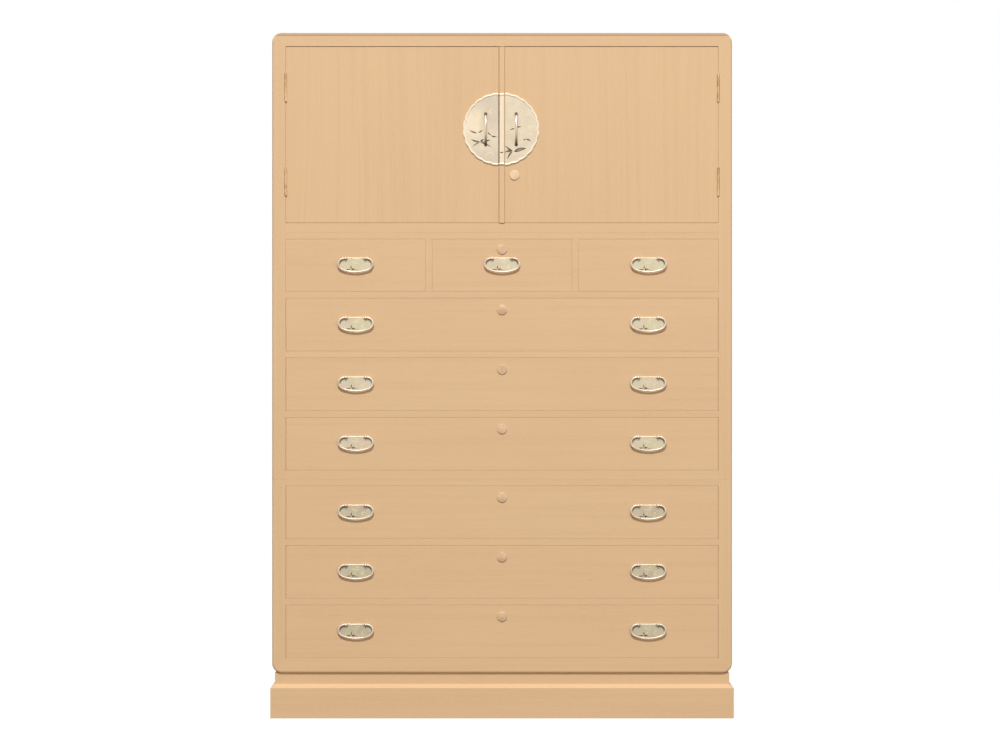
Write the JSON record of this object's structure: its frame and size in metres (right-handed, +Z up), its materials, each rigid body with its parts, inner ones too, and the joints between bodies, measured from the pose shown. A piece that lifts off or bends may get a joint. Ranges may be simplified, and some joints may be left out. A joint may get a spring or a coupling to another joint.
{
  "type": "clothing chest",
  "caption": "Tall paulownia clothing chest: stacked cases on a moulded plinth, hinged doors over trays, and drawers with swinging bail pulls.",
  "frame": {"origin": "on the floor under the middle of the case, on the underside of the plinth's bearer", "axes": "+Z up, +X to the chest's left-hand side as seen by itself (right as seen from the front), the front faces -Y"},
  "size_m": [1.128, 0.4591, 1.669],
  "materials": {
    "kiri_wood": "waxed satin",
    "kiri_inner": "planed matte",
    "champagne_plate": "satin",
    "silver_pull": "polished",
    "bronze_cover": "satin",
    "hinge_metal": "satin"
  },
  "bodies": {
    "case": {"plinth": "kiri_wood", "lower_case_sides": "kiri_wood", "lower_case_top_and_bottom": "kiri_wood", "lower_case_shelves": "kiri_inner", "upper_case_sides": "kiri_wood", "upper_case_top_and_floor": "kiri_wood", "upper_case_shelves": "kiri_inner", "back_panels": "kiri_inner", "kimono_trays": "kiri_inner", "case_hinge_leaves": "hinge_metal"},
    "left_door": {"left_door": "kiri_wood", "left_door_round_plate": "champagne_plate", "left_door_pull": "silver_pull", "left_door_hinge_leaves": "hinge_metal"},
    "right_door": {"right_door": "kiri_wood", "meeting_strip": "kiri_wood", "right_door_round_plate": "champagne_plate", "right_door_pull": "silver_pull", "right_door_hinge_leaves": "hinge_metal"},
    "right_door_key_cover": {"right_door_key_cover": "bronze_cover"},
    "upper_drawer_1": {"upper_drawer_1": "kiri_wood", "upper_drawer_1_fittings": "champagne_plate"},
    "upper_drawer_1_key_cover": {"upper_drawer_1_key_cover": "bronze_cover"},
    "upper_drawer_1_left_bail": {"upper_drawer_1_left_bail": "silver_pull"},
    "upper_drawer_1_right_bail": {"upper_drawer_1_right_bail": "silver_pull"},
    "upper_drawer_2": {"upper_drawer_2": "kiri_wood", "upper_drawer_2_fittings": "champagne_plate"},
    "upper_drawer_2_key_cover": {"upper_drawer_2_key_cover": "bronze_cover"},
    "upper_drawer_2_left_bail": {"upper_drawer_2_left_bail": "silver_pull"},
    "upper_drawer_2_right_bail": {"upper_drawer_2_right_bail": "silver_pull"},
    "upper_drawer_3": {"upper_drawer_3": "kiri_wood", "upper_drawer_3_fittings": "champagne_plate"},
    "upper_drawer_3_key_cover": {"upper_drawer_3_key_cover": "bronze_cover"},
    "upper_drawer_3_left_bail": {"upper_drawer_3_left_bail": "silver_pull"},
    "upper_drawer_3_right_bail": {"upper_drawer_3_right_bail": "silver_pull"},
    "lower_drawer_1": {"lower_drawer_1": "kiri_wood", "lower_drawer_1_fittings": "champagne_plate"},
    "lower_drawer_1_key_cover": {"lower_drawer_1_key_cover": "bronze_cover"},
    "lower_drawer_1_left_bail": {"lower_drawer_1_left_bail": "silver_pull"},
    "lower_drawer_1_right_bail": {"lower_drawer_1_right_bail": "silver_pull"},
    "lower_drawer_2": {"lower_drawer_2": "kiri_wood", "lower_drawer_2_fittings": "champagne_plate"},
    "lower_drawer_2_key_cover": {"lower_drawer_2_key_cover": "bronze_cover"},
    "lower_drawer_2_left_bail": {"lower_drawer_2_left_bail": "silver_pull"},
    "lower_drawer_2_right_bail": {"lower_drawer_2_right_bail": "silver_pull"},
    "lower_drawer_3": {"lower_drawer_3": "kiri_wood", "lower_drawer_3_fittings": "champagne_plate"},
    "lower_drawer_3_key_cover": {"lower_drawer_3_key_cover": "bronze_cover"},
    "lower_drawer_3_left_bail": {"lower_drawer_3_left_bail": "silver_pull"},
    "lower_drawer_3_right_bail": {"lower_drawer_3_right_bail": "silver_pull"},
    "small_drawer_left": {"small_drawer_left": "kiri_wood", "small_drawer_left_fittings": "champagne_plate"},
    "small_drawer_left_bail": {"small_drawer_left_bail": "silver_pull"},
    "small_drawer_middle": {"small_drawer_middle": "kiri_wood", "small_drawer_middle_fittings": "champagne_plate"},
    "small_drawer_middle_key_cover": {"small_drawer_middle_key_cover": "bronze_cover"},
    "small_drawer_middle_bail": {"small_drawer_middle_bail": "silver_pull"},
    "small_drawer_right": {"small_drawer_right": "kiri_wood", "small_drawer_right_fittings": "champagne_plate"},
    "small_drawer_right_bail": {"small_drawer_right_bail": "silver_pull"}
  },
  "joints": [
    {"name": "left_door_hinge", "type": "hinge", "parent": "case", "child": "left_door", "pos_m": [-0.5266, -0.221, 1.42065], "axis": [0, 0, -1], "range_deg": [0, 170]},
    {"name": "right_door_hinge", "type": "hinge", "parent": "case", "child": "right_door", "pos_m": [0.5266, -0.221, 1.42065], "axis": [0, 0, 1], "range_deg": [0, 170]},
    {"name": "right_door_key_cover_pivot", "type": "hinge", "parent": "right_door", "child": "right_door_key_cover", "pos_m": [0.0303, -0.2202, 1.33], "axis": [0, -1, 0], "range_deg": [-100, 100]},
    {"name": "upper_drawer_1_slide", "type": "slide", "parent": "case", "child": "upper_drawer_1", "axis": [0, -1, 0], "range_m": [0, 0.33]},
    {"name": "upper_drawer_1_key_cover_pivot", "type": "hinge", "parent": "upper_drawer_1", "child": "upper_drawer_1_key_cover", "pos_m": [0, -0.2212, 1.002], "axis": [0, -1, 0], "range_deg": [-100, 100]},
    {"name": "upper_drawer_1_left_bail_pivot", "type": "hinge", "parent": "upper_drawer_1", "child": "upper_drawer_1_left_bail", "pos_m": [-0.356, -0.225, 0.975], "axis": [-1, 0, 0], "range_deg": [0, 100]},
    {"name": "upper_drawer_1_right_bail_pivot", "type": "hinge", "parent": "upper_drawer_1", "child": "upper_drawer_1_right_bail", "pos_m": [0.356, -0.225, 0.975], "axis": [-1, 0, 0], "range_deg": [0, 100]},
    {"name": "upper_drawer_2_slide", "type": "slide", "parent": "case", "child": "upper_drawer_2", "axis": [0, -1, 0], "range_m": [0, 0.33]},
    {"name": "upper_drawer_2_key_cover_pivot", "type": "hinge", "parent": "upper_drawer_2", "child": "upper_drawer_2_key_cover", "pos_m": [0, -0.2212, 0.857], "axis": [0, -1, 0], "range_deg": [-100, 100]},
    {"name": "upper_drawer_2_left_bail_pivot", "type": "hinge", "parent": "upper_drawer_2", "child": "upper_drawer_2_left_bail", "pos_m": [-0.356, -0.225, 0.83], "axis": [-1, 0, 0], "range_deg": [0, 100]},
    {"name": "upper_drawer_2_right_bail_pivot", "type": "hinge", "parent": "upper_drawer_2", "child": "upper_drawer_2_right_bail", "pos_m": [0.356, -0.225, 0.83], "axis": [-1, 0, 0], "range_deg": [0, 100]},
    {"name": "upper_drawer_3_slide", "type": "slide", "parent": "case", "child": "upper_drawer_3", "axis": [0, -1, 0], "range_m": [0, 0.33]},
    {"name": "upper_drawer_3_key_cover_pivot", "type": "hinge", "parent": "upper_drawer_3", "child": "upper_drawer_3_key_cover", "pos_m": [0, -0.2212, 0.712], "axis": [0, -1, 0], "range_deg": [-100, 100]},
    {"name": "upper_drawer_3_left_bail_pivot", "type": "hinge", "parent": "upper_drawer_3", "child": "upper_drawer_3_left_bail", "pos_m": [-0.356, -0.225, 0.685], "axis": [-1, 0, 0], "range_deg": [0, 100]},
    {"name": "upper_drawer_3_right_bail_pivot", "type": "hinge", "parent": "upper_drawer_3", "child": "upper_drawer_3_right_bail", "pos_m": [0.356, -0.225, 0.685], "axis": [-1, 0, 0], "range_deg": [0, 100]},
    {"name": "lower_drawer_1_slide", "type": "slide", "parent": "case", "child": "lower_drawer_1", "axis": [0, -1, 0], "range_m": [0, 0.33]},
    {"name": "lower_drawer_1_key_cover_pivot", "type": "hinge", "parent": "lower_drawer_1", "child": "lower_drawer_1_key_cover", "pos_m": [0, -0.2212, 0.545], "axis": [0, -1, 0], "range_deg": [-100, 100]},
    {"name": "lower_drawer_1_left_bail_pivot", "type": "hinge", "parent": "lower_drawer_1", "child": "lower_drawer_1_left_bail", "pos_m": [-0.356, -0.225, 0.518], "axis": [-1, 0, 0], "range_deg": [0, 100]},
    {"name": "lower_drawer_1_right_bail_pivot", "type": "hinge", "parent": "lower_drawer_1", "child": "lower_drawer_1_right_bail", "pos_m": [0.356, -0.225, 0.518], "axis": [-1, 0, 0], "range_deg": [0, 100]},
    {"name": "lower_drawer_2_slide", "type": "slide", "parent": "case", "child": "lower_drawer_2", "axis": [0, -1, 0], "range_m": [0, 0.33]},
    {"name": "lower_drawer_2_key_cover_pivot", "type": "hinge", "parent": "lower_drawer_2", "child": "lower_drawer_2_key_cover", "pos_m": [0, -0.2212, 0.4], "axis": [0, -1, 0], "range_deg": [-100, 100]},
    {"name": "lower_drawer_2_left_bail_pivot", "type": "hinge", "parent": "lower_drawer_2", "child": "lower_drawer_2_left_bail", "pos_m": [-0.356, -0.225, 0.373], "axis": [-1, 0, 0], "range_deg": [0, 100]},
    {"name": "lower_drawer_2_right_bail_pivot", "type": "hinge", "parent": "lower_drawer_2", "child": "lower_drawer_2_right_bail", "pos_m": [0.356, -0.225, 0.373], "axis": [-1, 0, 0], "range_deg": [0, 100]},
    {"name": "lower_drawer_3_slide", "type": "slide", "parent": "case", "child": "lower_drawer_3", "axis": [0, -1, 0], "range_m": [0, 0.33]},
    {"name": "lower_drawer_3_key_cover_pivot", "type": "hinge", "parent": "lower_drawer_3", "child": "lower_drawer_3_key_cover", "pos_m": [0, -0.2212, 0.255], "axis": [0, -1, 0], "range_deg": [-100, 100]},
    {"name": "lower_drawer_3_left_bail_pivot", "type": "hinge", "parent": "lower_drawer_3", "child": "lower_drawer_3_left_bail", "pos_m": [-0.356, -0.225, 0.228], "axis": [-1, 0, 0], "range_deg": [0, 100]},
    {"name": "lower_drawer_3_right_bail_pivot", "type": "hinge", "parent": "lower_drawer_3", "child": "lower_drawer_3_right_bail", "pos_m": [0.356, -0.225, 0.228], "axis": [-1, 0, 0], "range_deg": [0, 100]},
    {"name": "small_drawer_left_slide", "type": "slide", "parent": "case", "child": "small_drawer_left", "axis": [0, -1, 0], "range_m": [0, 0.33]},
    {"name": "small_drawer_left_bail_pivot", "type": "hinge", "parent": "small_drawer_left", "child": "small_drawer_left_bail", "pos_m": [-0.35687, -0.225, 1.1195], "axis": [-1, 0, 0], "range_deg": [0, 100]},
    {"name": "small_drawer_middle_slide", "type": "slide", "parent": "case", "child": "small_drawer_middle", "axis": [0, -1, 0], "range_m": [0, 0.33]},
    {"name": "small_drawer_middle_key_cover_pivot", "type": "hinge", "parent": "small_drawer_middle", "child": "small_drawer_middle_key_cover", "pos_m": [0, -0.2212, 1.149], "axis": [0, -1, 0], "range_deg": [-100, 100]},
    {"name": "small_drawer_middle_bail_pivot", "type": "hinge", "parent": "small_drawer_middle", "child": "small_drawer_middle_bail", "pos_m": [0, -0.225, 1.1195], "axis": [-1, 0, 0], "range_deg": [0, 100]},
    {"name": "small_drawer_right_slide", "type": "slide", "parent": "case", "child": "small_drawer_right", "axis": [0, -1, 0], "range_m": [0, 0.33]},
    {"name": "small_drawer_right_bail_pivot", "type": "hinge", "parent": "small_drawer_right", "child": "small_drawer_right_bail", "pos_m": [0.35687, -0.225, 1.1195], "axis": [-1, 0, 0], "range_deg": [0, 100]}
  ]
}
